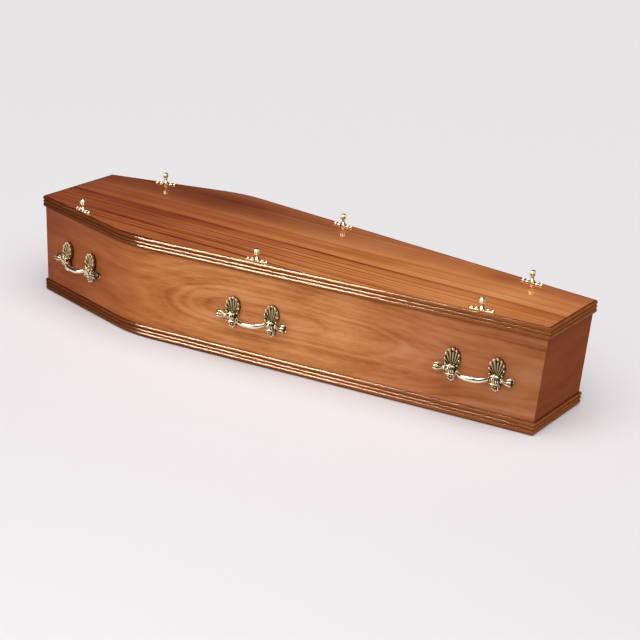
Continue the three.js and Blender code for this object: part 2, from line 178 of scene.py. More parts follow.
# %% [markdown]
# ## Patterns for wood
# All the coffin's wood is made of a few patterns: noise drawn out along the grain, levels that
# change smoothly from one part of a board to another, stains and painted shade laid one over
# another, and painted shade that changes along the coffin. A picture of veneer would be quicker,
# but it would stretch or repeat on boards of other sizes, so the patterns are worked out from
# real grain sizes in millimetres.

# %% Patterns for wood


def stretched_noise(material, place, sizes, detail, roughness):
    """Noise whose blotches have these sizes in mm along, across and up. inf is endless."""
    lie = add_node(
        material, "ShaderNodeMapping",
        {"Vector": place, "Scale": [1 / (size * MM) for size in sizes]},
    )
    noise = add_node(
        material, "ShaderNodeTexNoise",
        {"Vector": lie.outputs[0], "Scale": 1.0, "Detail": detail, "Roughness": roughness},
    )
    return noise.outputs["Fac"]


def weighted_sum(material, parts, total=0.0):
    """Adds values, each times its weight, to a total."""
    for value, weight in parts:
        node = add_node(
            material, "ShaderNodeMath", {0: value, 1: weight, 2: total},
            operation="MULTIPLY_ADD",
        )
        total = node.outputs[0]
    return total


def all_of(material, masks):
    """Multiplies masks, so that a pattern shows only where all of them do."""
    total = masks[0]
    for mask in masks[1:]:
        node = add_node(material, "ShaderNodeMath", {0: total, 1: mask}, operation="MULTIPLY")
        total = node.outputs[0]
    return total


def stepped(material, value, level, *steps):
    """A level that changes smoothly as the value goes through steps of (start, end, change)."""
    parts = []
    for start, end, change in steps:
        eased = add_node(
            material, "ShaderNodeMapRange",
            {"Value": value, "From Min": start, "From Max": end},
            interpolation_type="SMOOTHSTEP",
        )
        parts.append((eased.outputs[0], change))
    return weighted_sum(material, parts, level)


def stained_and_shaded(material, base, stains_and_shades):
    """Lays stains and painted shade over a colour, each a tone and how much of it shows, from 0 to 1."""
    for tone, amount in stains_and_shades:
        mix = add_node(
            material, "ShaderNodeMix", {"Factor": amount, 6: base, 7: tone},
            data_type="RGBA", blend_type="MULTIPLY",
        )
        base = mix.outputs[2]
    return base


def painted_shade_along(material, place, stops):
    """Painted shade that changes along the coffin, from stops of (x in mm, hex colour): a darker stop paints
    more shade.
    """
    split = add_node(material, "ShaderNodeSeparateXYZ", {0: place})
    share = add_node(
        material, "ShaderNodeMapRange",
        {"Value": split.outputs["X"], "From Min": HEAD_X * MM, "From Max": FOOT_X * MM},
    )
    ramp = add_node(material, "ShaderNodeValToRGB", {"Fac": share.outputs[0]})
    set_ramp(ramp, [((x - HEAD_X) / LID_LENGTH, hex_value) for x, hex_value in stops])
    return ramp.outputs["Color"]


print("five patterns ready, sized in mm")

# %% [markdown]
# ## Mahogany veneer on the lid
# The lid is veneered with straight-grained mahogany, cut so that the year rings lie as long
# ribbons from head to foot. A wave texture would space them evenly, which real wood never does,
# so the ribbons are bands of a noise that reads only how far across the lid a point is, after a
# slow wander has moved that a little. Dark lines crowd on the right half, and fine fibres lie
# over it all. Painted shade darkens a patch on the far half towards the head, the far half a
# little, and the whole lid towards the head end.

# %% Lacquered mahogany veneer with ribbon grain
RIBBON_WIDTH = 70
LINE_SPACING = 16
FIBRE_WIDTH = 1.6
RIBBON_WANDER = 70
SHADE_PATCH_MIDDLE = (-420, 190)
SHADE_PATCH_HALF_SIZE = (950, 200)


def lid_veneer():
    # The lacquer is a clear coat as smooth as glass, so the eye sees the fittings mirrored over
    # wood that keeps its own dull shine.
    material, shader = new_material("lacquered mahogany veneer, ribbon grain")
    place = add_node(material, "ShaderNodeTexCoord").outputs["Object"]
    split = add_node(material, "ShaderNodeSeparateXYZ", {0: place})
    wander = stretched_noise(material, place, (1111.1, 400, 1000), 1.5, 0.4)
    across = weighted_sum(material, [(split.outputs["Y"], 1.0), (wander, RIBBON_WANDER * MM)])
    ribbon, lines = [
        add_node(
            material, "ShaderNodeTexNoise",
            {"W": across, "Scale": 1 / (spacing * MM), "Detail": detail, "Roughness": 0.5},
            noise_dimensions="1D",
        ).outputs["Fac"]
        for spacing, detail in ((RIBBON_WIDTH, 1.0), (LINE_SPACING, 2.0))
    ]
    cloud = stretched_noise(material, place, (454.5, 142.86, 1000), 3.0, 0.55)
    fade = stretched_noise(material, place, (500, 33.333, 1000), 2.0, 0.5)
    fibre = stretched_noise(material, place, (111.11, FIBRE_WIDTH, 1000), 2.0, 0.6)
    ground = weighted_sum(material, [(ribbon, 0.4), (cloud, 0.5), (fibre, 0.1)])
    ramp = add_node(material, "ShaderNodeValToRGB", {"Fac": ground})
    set_ramp(ramp, [(0.34, "#aa5826"), (0.45, "#cb763b"), (0.55, "#da894c"), (0.66, "#e69b60")])
    line_strength = all_of(material, [
        stepped(material, split.outputs["Y"], 0.25, (0.06, -0.03, 0.75)),
        stepped(material, lines, 0.0, (0.52, 0.41, 1.0)),
        stepped(material, fade, 0.35, (0.32, 0.56, 0.65)),
        stepped(material, split.outputs["X"], 1.0, (0.15, 0.75, -0.5)),
    ])
    # Painted shade: a darker patch on the far half of the lid, towards the head.
    lie = add_node(
        material, "ShaderNodeMapping",
        {
            "Vector": place,
            "Location": (SHADE_PATCH_MIDDLE[0] * MM, SHADE_PATCH_MIDDLE[1] * MM, COFFIN_HEIGHT * MM),
            "Scale": (SHADE_PATCH_HALF_SIZE[0] * MM, SHADE_PATCH_HALF_SIZE[1] * MM, 1.0),
        },
        vector_type="TEXTURE",
    )
    far_head_shade = add_node(
        material, "ShaderNodeTexGradient", {0: lie.outputs[0]}, gradient_type="QUADRATIC_SPHERE",
    )
    # Painted shade: the lid darkens towards the head end.
    tone = painted_shade_along(material, place, [
        (-960, "#b8958a"), (-500, "#d4bcb2"), (-100, "#ece4e0"), (400, "#faf8f6"),
        (900, "#eeecee"),
    ])
    wood = stained_and_shaded(material, ramp.outputs["Color"], [
        (colour("#a27256"), line_strength),
        (colour("#c2a696"), far_head_shade.outputs["Fac"]),
        # Painted shade: the far half of the lid is darkened and cooled a little.
        (colour("#e6e6f2"), stepped(material, split.outputs["Y"], 0.0, (0.02, 0.15, 1.0))),
        (tone, 1.0),
    ])
    set_inputs(shader, {
        "Base Color": wood, "Roughness": 0.5, "Specular IOR Level": 0.1,
        "Coat Weight": 1.0, "Coat Roughness": 0.03,
    })
    return material


LID_VENEER = lid_veneer()
print("made", LID_VENEER.name, "with ribbons of", RIBBON_WIDTH, "mm")

# %% [markdown]
# ## Mahogany veneer on the sides
# The long sides wear plain-sawn veneer. Where the saw grazed the year rings they come up as one
# long eye, with a small closed eye inside, and beyond it they flow along the board. Rings round
# a point would be circles, so the bands read how far a point is from the eye's middle, counted
# in a squeezed length that stops growing past the eye's ends. A slow wander makes them uneven.

# %% Lacquered mahogany veneer with flowing grain
RING_SPACING = 17
EYE_X = 110
EYE_Z = 172
EYE_HALF_LENGTH = 450
EYE_HALF_HEIGHT = 105
SMALL_EYE_X = 300
SMALL_EYE_HALF_SIZE = (115, 48)
SMALL_EYE_PUSH = 60
RING_WANDER = 55
SLOW_WANDER = 80
ANY_DEPTH = 1000


def ring_distance(material, place):
    """How far out a point lies in the nest of rings round the long eye, in metres."""
    eye = (EYE_X * MM, 0, EYE_Z * MM)
    off = add_node(material, "ShaderNodeVectorMath", {0: place, 1: eye}, operation="SUBTRACT")
    split = add_node(material, "ShaderNodeSeparateXYZ", {0: off.outputs[0]})
    off_x = add_node(material, "ShaderNodeMath", {0: split.outputs["X"]}, operation="ABSOLUTE")
    half_length, half_height = EYE_HALF_LENGTH * MM, EYE_HALF_HEIGHT * MM
    squeezed = stepped(
        material, off_x.outputs[0], 0.0, (0.2 * half_length, 1.4 * half_length, half_height),
    )
    both = add_node(
        material, "ShaderNodeCombineXYZ", {"X": squeezed, "Z": split.outputs["Z"]},
    )
    out = add_node(material, "ShaderNodeVectorMath", {0: both.outputs[0]}, operation="LENGTH")
    lie = add_node(
        material, "ShaderNodeMapping",
        {
            "Vector": place,
            "Location": (SMALL_EYE_X * MM, 0, EYE_Z * MM),
            "Scale": (SMALL_EYE_HALF_SIZE[0] * MM, ANY_DEPTH, SMALL_EYE_HALF_SIZE[1] * MM),
        },
        vector_type="TEXTURE",
    )
    small_eye = add_node(
        material, "ShaderNodeTexGradient", {0: lie.outputs[0]}, gradient_type="QUADRATIC_SPHERE",
    )
    wander = stretched_noise(material, place, (454.55, math.inf, 111.11), 2.0, 0.45)
    slow = stretched_noise(material, place, (1111.1, math.inf, 333.33), 1.0, 0.4)
    return weighted_sum(material, [
        (out.outputs["Value"], 1.0), (small_eye.outputs["Fac"], SMALL_EYE_PUSH * MM),
        (wander, RING_WANDER * MM), (slow, SLOW_WANDER * MM),
    ])


def side_veneer():
    # The sides have the same lacquer, but it mirrors only the floor, so its coat is weak here:
    # the eye gets the wood's own warm colour, with hardly a gleam.
    material, shader = new_material("lacquered mahogany veneer, flowing grain")
    place = add_node(material, "ShaderNodeTexCoord").outputs["Object"]
    along = add_node(material, "ShaderNodeSeparateXYZ", {0: place}).outputs["X"]
    ring_scale = 1 / (RING_SPACING * MM)
    rings = add_node(
        material, "ShaderNodeTexNoise",
        {"W": ring_distance(material, place), "Scale": ring_scale, "Detail": 1.5, "Roughness": 0.5},
        noise_dimensions="1D",
    ).outputs["Fac"]
    cloud = stretched_noise(material, place, (250, math.inf, 62.5), 3.0, 0.55)
    streak = stretched_noise(material, place, (333.33, math.inf, 9.0909), 2.0, 0.55)
    fibre = stretched_noise(material, place, (71.43, 3.3333, 3.0303), 3.0, 0.6)
    # The figure is calm at the head and the foot. Places along the board are in metres here.
    ring_strength = stepped(material, along, 0.12, (-0.75, -0.2, 0.26), (0.0, 0.3, -0.13))
    fine_strength = stepped(material, along, 0.1, (-0.75, -0.25, 0.32), (0.2, 0.7, -0.2))
    ring_part = weighted_sum(material, [(rings, 1.0)], -0.5)
    fine_part = weighted_sum(material, [(streak, 0.5), (fibre, 0.5)], -0.5)
    grain = weighted_sum(material, [
        (all_of(material, [ring_part, ring_strength]), 1.0),
        (all_of(material, [fine_part, fine_strength]), 1.0),
        (cloud, 0.5),
    ], 0.21)
    ramp = add_node(material, "ShaderNodeValToRGB", {"Fac": grain})
    set_ramp(ramp, [(0.28, "#9c5828"), (0.39, "#bd743e"), (0.48, "#d0894f"), (0.60, "#de9c66")])
    # Painted shade: the side darkens towards the head and towards the foot, where less light falls on it.
    tone = painted_shade_along(material, place, [
        (-960, "#b4886a"), (-500, "#dcc2ae"), (-100, "#f6f5f8"), (300, "#f3f3f9"),
        (600, "#e0d6e2"), (930, "#ccc0ce"),
    ])
    set_inputs(shader, {
        "Base Color": stained_and_shaded(material, ramp.outputs["Color"], [(tone, 1.0)]),
        "Roughness": 0.45, "Specular IOR Level": 0.05,
        "Coat Weight": 0.1, "Coat Roughness": 0.05,
    })
    return material


SIDE_VENEER = side_veneer()
print("made", SIDE_VENEER.name, "with rings every", RING_SPACING, "mm")

# %% [markdown]
# ## Veneer on the ends
# The head and foot boards are darker and redder than the sides, with plainer grain. Flowing
# rings would be wrong on so short a board, so it has only faint upright fibres and soft clouds.

# %% Lacquered mahogany veneer, plain leaf


def end_veneer():
    # It turns away from the light, so the eye gets a deep, nearly matt red-brown.
    material, shader = new_material("lacquered mahogany veneer, plain leaf")
    place = add_node(material, "ShaderNodeTexCoord").outputs["Object"]
    cloud = stretched_noise(material, place, (125, 125, 25), 3.0, 0.5)
    fibre = stretched_noise(material, place, (3.3333, 3.3333, 83.333), 2.0, 0.5)
    grain = weighted_sum(material, [(cloud, 0.7), (fibre, 0.3)])
    ramp = add_node(material, "ShaderNodeValToRGB", {"Fac": grain})
    set_ramp(ramp, [(0.3, "#814122"), (0.7, "#924c2d")])
    set_inputs(shader, {
        "Base Color": ramp.outputs["Color"], "Roughness": 0.5, "Specular IOR Level": 0.0,
        "Coat Weight": 0.05, "Coat Roughness": 0.05,
    })
    return material


END_VENEER = end_veneer()
print("made", END_VENEER.name)

# %% [markdown]
# ## Stained mahogany of the mouldings
# The mouldings are run from solid mahogany and given a stain a little darker, with the grain
# along them. The quirks between the reeds are darkened with painted shade: shading alone would
# leave them pale under such soft light, so each point of a strip carries how far it is set back,
# and the colour darkens with that. Painted shade also darkens them towards the head.

# %% Lacquered, stained mahogany moulding
RECESS_SHADE_AND_TARNISH = "recess"


def moulding_wood():
    # Lacquer over turned edges gives the eye long bright lines on the reeds, and dark ones between that are
    # partly painted shade.
    material, shader = new_material("lacquered stained mahogany moulding")
    place = add_node(material, "ShaderNodeTexCoord").outputs["Object"]
    fibre = stretched_noise(material, place, (250, 33.333, 6.25), 3.0, 0.5)
    ramp = add_node(material, "ShaderNodeValToRGB", {"Fac": fibre})
    set_ramp(ramp, [(0.3, "#844a24"), (0.7, "#945a30")])
    # Painted shade: the mouldings darken towards the head.
    tone = painted_shade_along(material, place, [(-960, "#b8a498"), (-400, "#d8ccc4"), (100, "#fff8f4")])
    recess = add_node(material, "ShaderNodeAttribute", attribute_name=RECESS_SHADE_AND_TARNISH)
    # Painted shade: the quirks darken with how far back a point is set.
    painted_quirk_shade = stepped(material, recess.outputs["Fac"], 0.0, (0.15, 0.95, 1.0))
    wood = stained_and_shaded(material, ramp.outputs["Color"], [(tone, 1.0), (colour("#a28e82"), painted_quirk_shade)])
    set_inputs(shader, {
        "Base Color": wood, "Roughness": 0.4, "Specular IOR Level": 0.0,
        "Coat Weight": 0.09, "Coat Roughness": 0.13,
    })
    return material


MOULDING_WOOD = moulding_wood()
print("made", MOULDING_WOOD.name)

# %% [markdown]
# ## Electro-plated brass
# The furniture is cast, polished and plated with pale brass. The plate is bright on what stands
# out and darker brown in its recesses, which is tarnish and painted shade together. A pointiness
# node could find such places, but it depends on the mesh, so each casting carries how deep in a
# recess each point is.

# %% Electro-plated brass with tarnish and painted shade in its recesses
POLISHED_ROUGHNESS = 0.14
TARNISHED_ROUGHNESS = 0.5


def plated_brass():
    # A mirror with a straw tint on the crests, and hollows darkened by tarnish and painted shade, let the eye
    # read the relief.
    material, shader = new_material("electro-plated brass")
    recess = add_node(material, "ShaderNodeAttribute", attribute_name=RECESS_SHADE_AND_TARNISH).outputs["Fac"]
    # Tarnish and painted shade: the deeper in a recess a point lies, the darker and duller brown its plate.
    ramp = add_node(material, "ShaderNodeValToRGB", {"Fac": recess})
    set_ramp(ramp, [(0.0, "#f8ecd0"), (0.25, "#dccaa0"), (0.6, "#7e6640"), (1.0, "#362818")])
    rough = add_node(
        material, "ShaderNodeMapRange",
        {"Value": recess, "To Min": POLISHED_ROUGHNESS, "To Max": TARNISHED_ROUGHNESS},
    )
    set_inputs(shader, {
        "Base Color": ramp.outputs["Color"], "Metallic": 1.0, "Roughness": rough.outputs[0],
    })
    return material


BRASS = plated_brass()
print("made", BRASS.name)

# %% [markdown]
# ## Making finished pieces
# A piece is made in a bmesh in millimetres, at its place on the coffin. Its mesh is turned to
# metres, shaded smooth apart from its sharp edges, and rides on the coffin's one body.

# %% Finish a piece


def finished(shape, name, material, node, sharp=35):
    """Makes an object of a bmesh in mm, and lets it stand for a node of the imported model."""
    bmesh.ops.scale(shape, vec=(MM, MM, MM), verts=shape.verts)
    mesh = bpy.data.meshes.new(name)
    shape.to_mesh(mesh)
    shape.free()
    mesh.materials.append(material)
    mesh.shade_smooth()
    mesh.set_sharp_from_angle(angle=math.radians(sharp))
    piece = bpy.data.objects.new(name, mesh)
    bpy.context.collection.objects.link(piece)
    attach(piece, "root")
    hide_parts(node)
    return piece


print("pieces are made in mm and finished in metres")

# %% [markdown]
# ## Sweeping a section along a side
# A side and its mouldings are bent strips. A strip starts as its section, a loop of edges standing
# square to the foot part. The loop is drawn along to the bend, spun round it, and drawn on past
# the head. The ends are then cut off with two planes, as on a mitre saw, and closed.

# %% Bent strips
OVERRUN = 80
REED_DEPTH = 3.2


def plane_through(a, b, c):
    """A plane through three points, as its point and normal."""
    return a, (b - a).cross(c - a).normalized()


def cut_off(shape, plane, keep):
    """Cuts the shape with a plane, keeps the side that the point keep is on, and closes the cut."""
    point, normal = plane
    if (keep - point).dot(normal) > 0:
        normal = -normal
    everything = [*shape.verts, *shape.edges, *shape.faces]
    cut = bmesh.ops.bisect_plane(
        shape, geom=everything, plane_co=point, plane_no=normal, clear_outer=True, dist=1e-5,
    )
    rim = [e for e in cut["geom_cut"] if isinstance(e, bmesh.types.BMEdge)]
    bmesh.ops.holes_fill(shape, edges=rim, sides=0)


def section_loop(shape, section, place_of):
    """Adds a section's loop of edges. Its points carry how far back they are set, up to 1."""
    recess = shape.verts.layers.float.new(RECESS_SHADE_AND_TARNISH)
    points = []
    for inset, z in section:
        points.append(shape.verts.new(place_of(inset, z)))
        points[-1][recess] = min(1.0, inset / REED_DEPTH)
    return [shape.edges.new((a, b)) for a, b in zip(points, points[1:] + points[:1])]


def draw_along(shape, edges, way):
    """Draws edges out along a way, and gives back the points and edges at its far end."""
    drawn = bmesh.ops.extrude_edge_only(shape, edges=edges)["geom"]
    points = [v for v in drawn if isinstance(v, bmesh.types.BMVert)]
    bmesh.ops.translate(shape, vec=way, verts=points)
    return points, [e for e in drawn if isinstance(e, bmesh.types.BMEdge)]


def bent_strip(section, side, head_cut, foot_cut):
    """Sweeps a section of (inset, z) along a long side: -1 is the right one and 1 the left."""
    shape = bmesh.new()
    bend = Vector((BEND_X, BEND_Y, 0))
    across = Vector((-math.sin(FOOT_TURN), math.cos(FOOT_TURN), 0))
    foot_way = Vector((-math.cos(FOOT_TURN), -math.sin(FOOT_TURN), 0))
    head_way = Vector((-math.cos(HEAD_TURN), -math.sin(HEAD_TURN), 0))
    foot_run = (FOOT_X - BEND_X) / math.cos(FOOT_TURN) + OVERRUN
    head_run = (BEND_X - HEAD_X) / math.cos(HEAD_TURN) + OVERRUN

    def start_of(inset, z):
        return bend + across * (BEND_RADIUS - inset) - foot_way * foot_run + Vector((0, 0, z))

    loop = section_loop(shape, section, start_of)
    points, edges = draw_along(shape, loop, foot_way * foot_run)
    spun = bmesh.ops.spin(
        shape, geom=[*points, *edges], cent=bend, axis=(0, 0, 1), angle=HEAD_TURN - FOOT_TURN,
        steps=BEND_STEPS, use_duplicate=False,
    )["geom_last"]
    draw_along(shape, [e for e in spun if isinstance(e, bmesh.types.BMEdge)], head_way * head_run)
    middle = Vector((0, foot_half(0, section[0][0]), section[0][1]))
    cut_off(shape, head_cut, middle)
    cut_off(shape, foot_cut, middle)
    if side < 0:
        bmesh.ops.scale(shape, vec=(1, -1, 1), verts=shape.verts)
    bmesh.ops.recalc_face_normals(shape, faces=shape.faces)
    return shape


print("strips bend at", round(BEND_X), "mm")

# %% [markdown]
# ## The long sides
# Each side is one board, 18 mm thick, bent round the shoulder. Its foot end leans in towards the
# floor, because the coffin's foot is cut back at the bottom.

# %% Side boards
SIDE_NAMES = {"right": -1, "left": 1}
PROUD = 7
SIDE_THICKNESS = 18
WALL_BOTTOM = 18.3
WALL_TOP = 321.7
LID_UNDERSIDE = 322
FOOT_RAKE = 26


def rake_at(z):
    """How far, in mm, the foot end leans in at this height."""
    return FOOT_RAKE * (1 - z / LID_UNDERSIDE)


board_section = [
    (PROUD, WALL_BOTTOM),
    (PROUD + SIDE_THICKNESS, WALL_BOTTOM),
    (PROUD + SIDE_THICKNESS, WALL_TOP),
    (PROUD, WALL_TOP),
]
head_saw = (Vector((HEAD_X + PROUD, 0, 0)), Vector((1, 0, 0)))
foot_low = Vector((FOOT_X - PROUD - rake_at(0), 0, 0))
foot_high = Vector((FOOT_X - PROUD, 0, LID_UNDERSIDE))
foot_saw = plane_through(foot_low, foot_high, foot_low + Vector((0, 100, 0)))
for side_name, side in SIDE_NAMES.items():
    board = bent_strip(board_section, side, head_saw, foot_saw)
    for face in board.faces:
        if abs(face.normal.x) > 0.9:
            face.material_index = 1
    name = f"side_board_{side_name}"
    piece = finished(board, f"veneered_{name}", SIDE_VENEER, name)
    piece.data.materials.append(END_VENEER)
print("two side boards", PROUD, "mm in from the lid's edge")

# %% [markdown]
# ## The reeded mouldings
# The same strip runs round the lid and the base: three half-round reeds with sharp quirks between.
# At the corners the strips meet in mitres. The end strips are drawn straight across.

# %% Mouldings
REEDS = (13.5, 10, 13)
REED_GROOVE = 0.75
REED_STEPS = 14
BASE_MOULDING_LIFT = 3
LID_MOULDING_GAP = 0.5
MITRE_GAP = 0.3
MOULDING_HEIGHT = sum(REEDS) + 2 * REED_GROOVE


def reeded_section(top, back):
    """The strip's section as (inset, z), from the top reed down and back up its flat back."""
    section = []
    edge = top
    for height in REEDS:
        for step in range(REED_STEPS + 1):
            angle = math.pi * step / REED_STEPS
            inset = REED_DEPTH * (1 - math.sin(angle))
            section.append((inset, edge - height * (1 - math.cos(angle)) / 2))
        edge -= height + REED_GROOVE
    return section + [(back, top - MOULDING_HEIGHT), (back, top)]


def corner_cut(half_at, end_at, gap=0.0):
    """The mitre's plane through the corner where a long and a short strip meet."""
    def corner(inset, z):
        x = end_at(inset, z)
        return Vector((x, half_at(x, inset) - gap, z))
    return plane_through(corner(0, 0), corner(10, 0), corner(0, 10))


def end_strip(section, half_at, end_at):
    """Draws a section straight across an end of the coffin and cuts both mitres."""
    shape = bmesh.new()
    start = -SHOULDER_WIDTH / 2
    loop = section_loop(shape, section, lambda inset, z: (end_at(inset, z), start, z))
    draw_along(shape, loop, (0, SHOULDER_WIDTH, 0))
    middle = Vector((end_at(0, 0), 0, 0))
    point, normal = corner_cut(half_at, end_at, MITRE_GAP)
    cut_off(shape, (point, normal), middle)
    flipped = Vector((1, -1, 1))
    cut_off(shape, (point * flipped, normal * flipped), middle)
    bmesh.ops.recalc_face_normals(shape, faces=shape.faces)
    return shape


MOULDINGS = {
    "lid": {
        "section": reeded_section(COFFIN_HEIGHT, PROUD - LID_MOULDING_GAP),
        "head_at": lambda inset, z: HEAD_X + inset,
        "foot_at": lambda inset, z: FOOT_X - inset,
    },
    "base": {
        "section": reeded_section(BASE_MOULDING_LIFT + MOULDING_HEIGHT, PROUD - MITRE_GAP),
        "head_at": lambda inset, z: HEAD_X + inset,
        "foot_at": lambda inset, z: FOOT_X - inset - rake_at(z),
    },
}
for level, moulding in MOULDINGS.items():
    head_mitre = corner_cut(head_half, moulding["head_at"])
    foot_mitre = corner_cut(foot_half, moulding["foot_at"])
    strips = {
        side_name: bent_strip(moulding["section"], side, head_mitre, foot_mitre)
        for side_name, side in SIDE_NAMES.items()
    }
    strips["head"] = end_strip(moulding["section"], head_half, moulding["head_at"])
    strips["foot"] = end_strip(moulding["section"], foot_half, moulding["foot_at"])
    for where, strip in strips.items():
        name = f"{level}_moulding_{where}"
        finished(strip, f"reeded_{name}", MOULDING_WOOD, name)
print("eight reeded strips,", MOULDING_HEIGHT, "mm high")

# %% [markdown]
# ## The flat boards
# The lid board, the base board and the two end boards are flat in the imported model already, so they
# stay and only get their veneer.

# %% Veneer the flat boards
FLAT_BOARDS = {
    "lid_board": LID_VENEER,
    "base_board": END_VENEER,
    "head_end_board": END_VENEER,
    "foot_end_board": END_VENEER,
}
for node_name, veneer in FLAT_BOARDS.items():
    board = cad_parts[node_name]
    board.data.materials.clear()
    board.data.materials.append(veneer)
print("veneered", ", ".join(FLAT_BOARDS))

# %% [markdown]
# ## Casting the furniture
# Every casting is made about its own middle, X along the coffin's side, Y out of it and Z up, and
# then set on the side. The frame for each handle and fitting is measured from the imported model.

# %% Stations of the furniture
STATIONS = ("head", "middle", "foot")
PLACES = [
    (f"{side_name}_{station}", side)
    for side_name, side in SIDE_NAMES.items() for station in STATIONS
]
WALL_TO_BAR = 17
HANDLE_HEIGHT = 152


def middle_of(node):
    """The middle of a node's box, in mm."""
    low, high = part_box(node)
    return (Vector(low) + Vector(high)) / 2 / MM


def side_frame(where, side):
    """The directions along a side and out of it, and the wall's point behind a handle, in mm."""
    a, b = (middle_of(f"handle_bracket_{where}_{end}") for end in "ab")
    along = Vector((b.x - a.x, b.y - a.y, 0)).normalized()
    out = Vector((-along.y, along.x, 0))
    if out.y * side < 0:
        out = -out
    x = ((a + b) / 2).x
    half_at = head_half if x < SHOULDER_X else foot_half
    return along, out, Vector((x, side * half_at(x, PROUD), HANDLE_HEIGHT))


def placed(along, out, origin):
    """The matrix that sets a casting's own axes on the coffin."""
    matrix = Matrix.Identity(4)
    for row in range(3):
        matrix[row][0], matrix[row][1], matrix[row][2] = along[row], out[row], (0, 0, 1)[row]
        matrix[row][3] = origin[row]
    return matrix


for where, side in PLACES:
    print("handle", where, "at", [round(v, 1) for v in side_frame(where, side)[2]])

# %% [markdown]
# ## Shell brackets
# Each bracket is one casting: a scallop shell that hangs on the wall, a ribbed collar that carries
# the bar, and a small palmette below. The shell starts as a flat grid whose points are moved
# onto a fan: the grid's columns become its ribs and grooves, and its far edge the scalloped rim.
# Sculpting would give a livelier shell, but this one can be given more ribs or another reach.

# %% Fans with ribs
SHELL_REACH = 63
FAN_OVERLAP = 6
FAN_ROWS = 22
COLUMNS_PER_RIB = 10
SHELL_HALF_ANGLE = math.radians(50)
SHELL_NARROWING = 2.6
SHELL_RIBS = 9
SHELL_FLOOR = 3
SHELL_RIM_LIFT = 6
SHELL_SIDE_LIFT = 9
RIB_RELIEF = 3.2
RIM_START = 0.9
RIM_WIDTH = 0.08
RIM_POLISH = 0.85
RIM_FILLING = 0.7
RIM_BEAD = 3.1
INNER_SHADE_AND_TARNISH = 0.34
WALL_GAP = 0.3


def clamped(value):
    """The value, kept from 0 to 1."""
    return min(1.0, max(0.0, value))


def off_crest(across, ribs):
    """0 on the crest of a rib and 1 in the middle of the groove beside it."""
    return 2 * abs((across + 1) / 2 * ribs % 1 - 0.5)


def groove_at(across, ribs, start=0.3, end=0.7):
    """How deep in a groove a place is: 0 on the rib, rising smoothly to 1."""
    share = clamped((off_crest(across, ribs) - start) / (end - start))
    return share * share * (3 - 2 * share)


def scallop_at(across, ribs):
    """1 at the tip of each scallop of the rim and 0 in the nick between two."""
    return math.sqrt(max(0.0, 1 - off_crest(across, ribs) ** 2))


def cast_fan(shape, recess, ribs, half_angle, rim_at, depth_at, direction):
    """Casts a ribbed fan that stands on the wall, its corner at the bar."""
    grid = bmesh.ops.create_grid(
        shape, x_segments=ribs * COLUMNS_PER_RIB, y_segments=FAN_ROWS, size=1,
    )["verts"]
    for vert in grid:
        across, share = vert.co.x, (vert.co.y + 1) / 2
        # The grooves run out in the first quarter of the fan, and fill up again on its rim.
        past_corner = min(1, share * 4)
        on_rim = clamped((share - RIM_START) / RIM_WIDTH)
        groove = groove_at(across, ribs) * past_corner
        angle = across * half_angle
        radius = rim_at(across) * share
        # Tarnish and painted shade: the grooves and the whole inside of the fan are darkened, the rim less.
        vert[recess] = max(groove, INNER_SHADE_AND_TARNISH * past_corner) * (1 - RIM_POLISH * on_rim)
        vert.co = Vector((
            radius * math.sin(angle),
            depth_at(share, across) + RIB_RELIEF * (0.5 - groove * (1 - RIM_FILLING * on_rim)),
            direction * (radius * math.cos(angle) - FAN_OVERLAP),
        ))
    bmesh.ops.remove_doubles(shape, verts=grid, dist=0.01)
    faces = {face for vert in grid if vert.is_valid for face in vert.link_faces}
    rim = [e for e in shape.edges if e.is_boundary and e.link_faces[0] in faces]
    skirt = bmesh.ops.extrude_edge_only(shape, edges=rim)["geom"]
    for vert in (v for v in skirt if isinstance(v, bmesh.types.BMVert)):
        vert.co.y = WALL_GAP
        # Painted shade: the fan's flank down to the wall is painted fully dark.
        vert[recess] = 1.0
    back = [e for e in skirt if isinstance(e, bmesh.types.BMEdge) and e.is_boundary]
    bmesh.ops.holes_fill(shape, edges=back, sides=0)


def cast_ball(shape, recess, place, radii, painted_shade=0.0):
    """Adds a ball or a drawn-out bead."""
    ball = bmesh.ops.create_uvsphere(shape, u_segments=14, v_segments=9, radius=1)["verts"]
    bmesh.ops.scale(shape, vec=radii, verts=ball)
    bmesh.ops.translate(shape, vec=place, verts=ball)
    for vert in ball:
        vert[recess] = painted_shade


print("fans have", SHELL_RIBS, "ribs")

# %% [markdown]
# ## Collar, shell and palmette
# The collar is turned work: a barrel with five grooves, which is a profile spun round the bar, with
# a ridge above it and one below. The shell's rim and the palmette carry cast beads, which are small
# balls sunk in the fans. The balls aren't joined to them, because the seams don't show.

# %% Collar, shell and palmette
COLLAR_LENGTH = 30
COLLAR_RADIUS = 14
COLLAR_END_RADIUS = 10.5
COLLAR_BORE = 6
COLLAR_RINGS = 5
COLLAR_STEPS = 60
COLLAR_GROOVE_DEPTH = 3.4
COLLAR_GROOVE_EDGES = (0.4, 0.75)
RIDGE_HEIGHTS = (12.5, -12)
RIDGE_RADII = (17, 5.0, 2.9)
LEAF_REACH = 40
LEAF_RIBS = 5
LEAF_HALF_ANGLE = math.radians(30)
LEAF_TAPER = 0.5
LEAF_DEPTH = 9
ROSETTE_RADIUS = 10
ROSETTE_BEADS = 9
SMALL_BEAD = 2.6
BRACKET_SPACING = 140


def spun_profile(shape, profile, steps):
    """Spins a profile of (x, radius) round the X axis, all the way."""
    points = [shape.verts.new((x, 0, radius)) for x, radius in profile]
    edges = [shape.edges.new((a, b)) for a, b in zip(points, points[1:])]
    before = set(shape.verts)
    bmesh.ops.spin(
        shape, geom=[*points, *edges], cent=(0, 0, 0), axis=(1, 0, 0), angle=2 * math.pi,
        steps=steps, use_merge=True, use_duplicate=False,
    )
    return points + [v for v in shape.verts if v not in before]


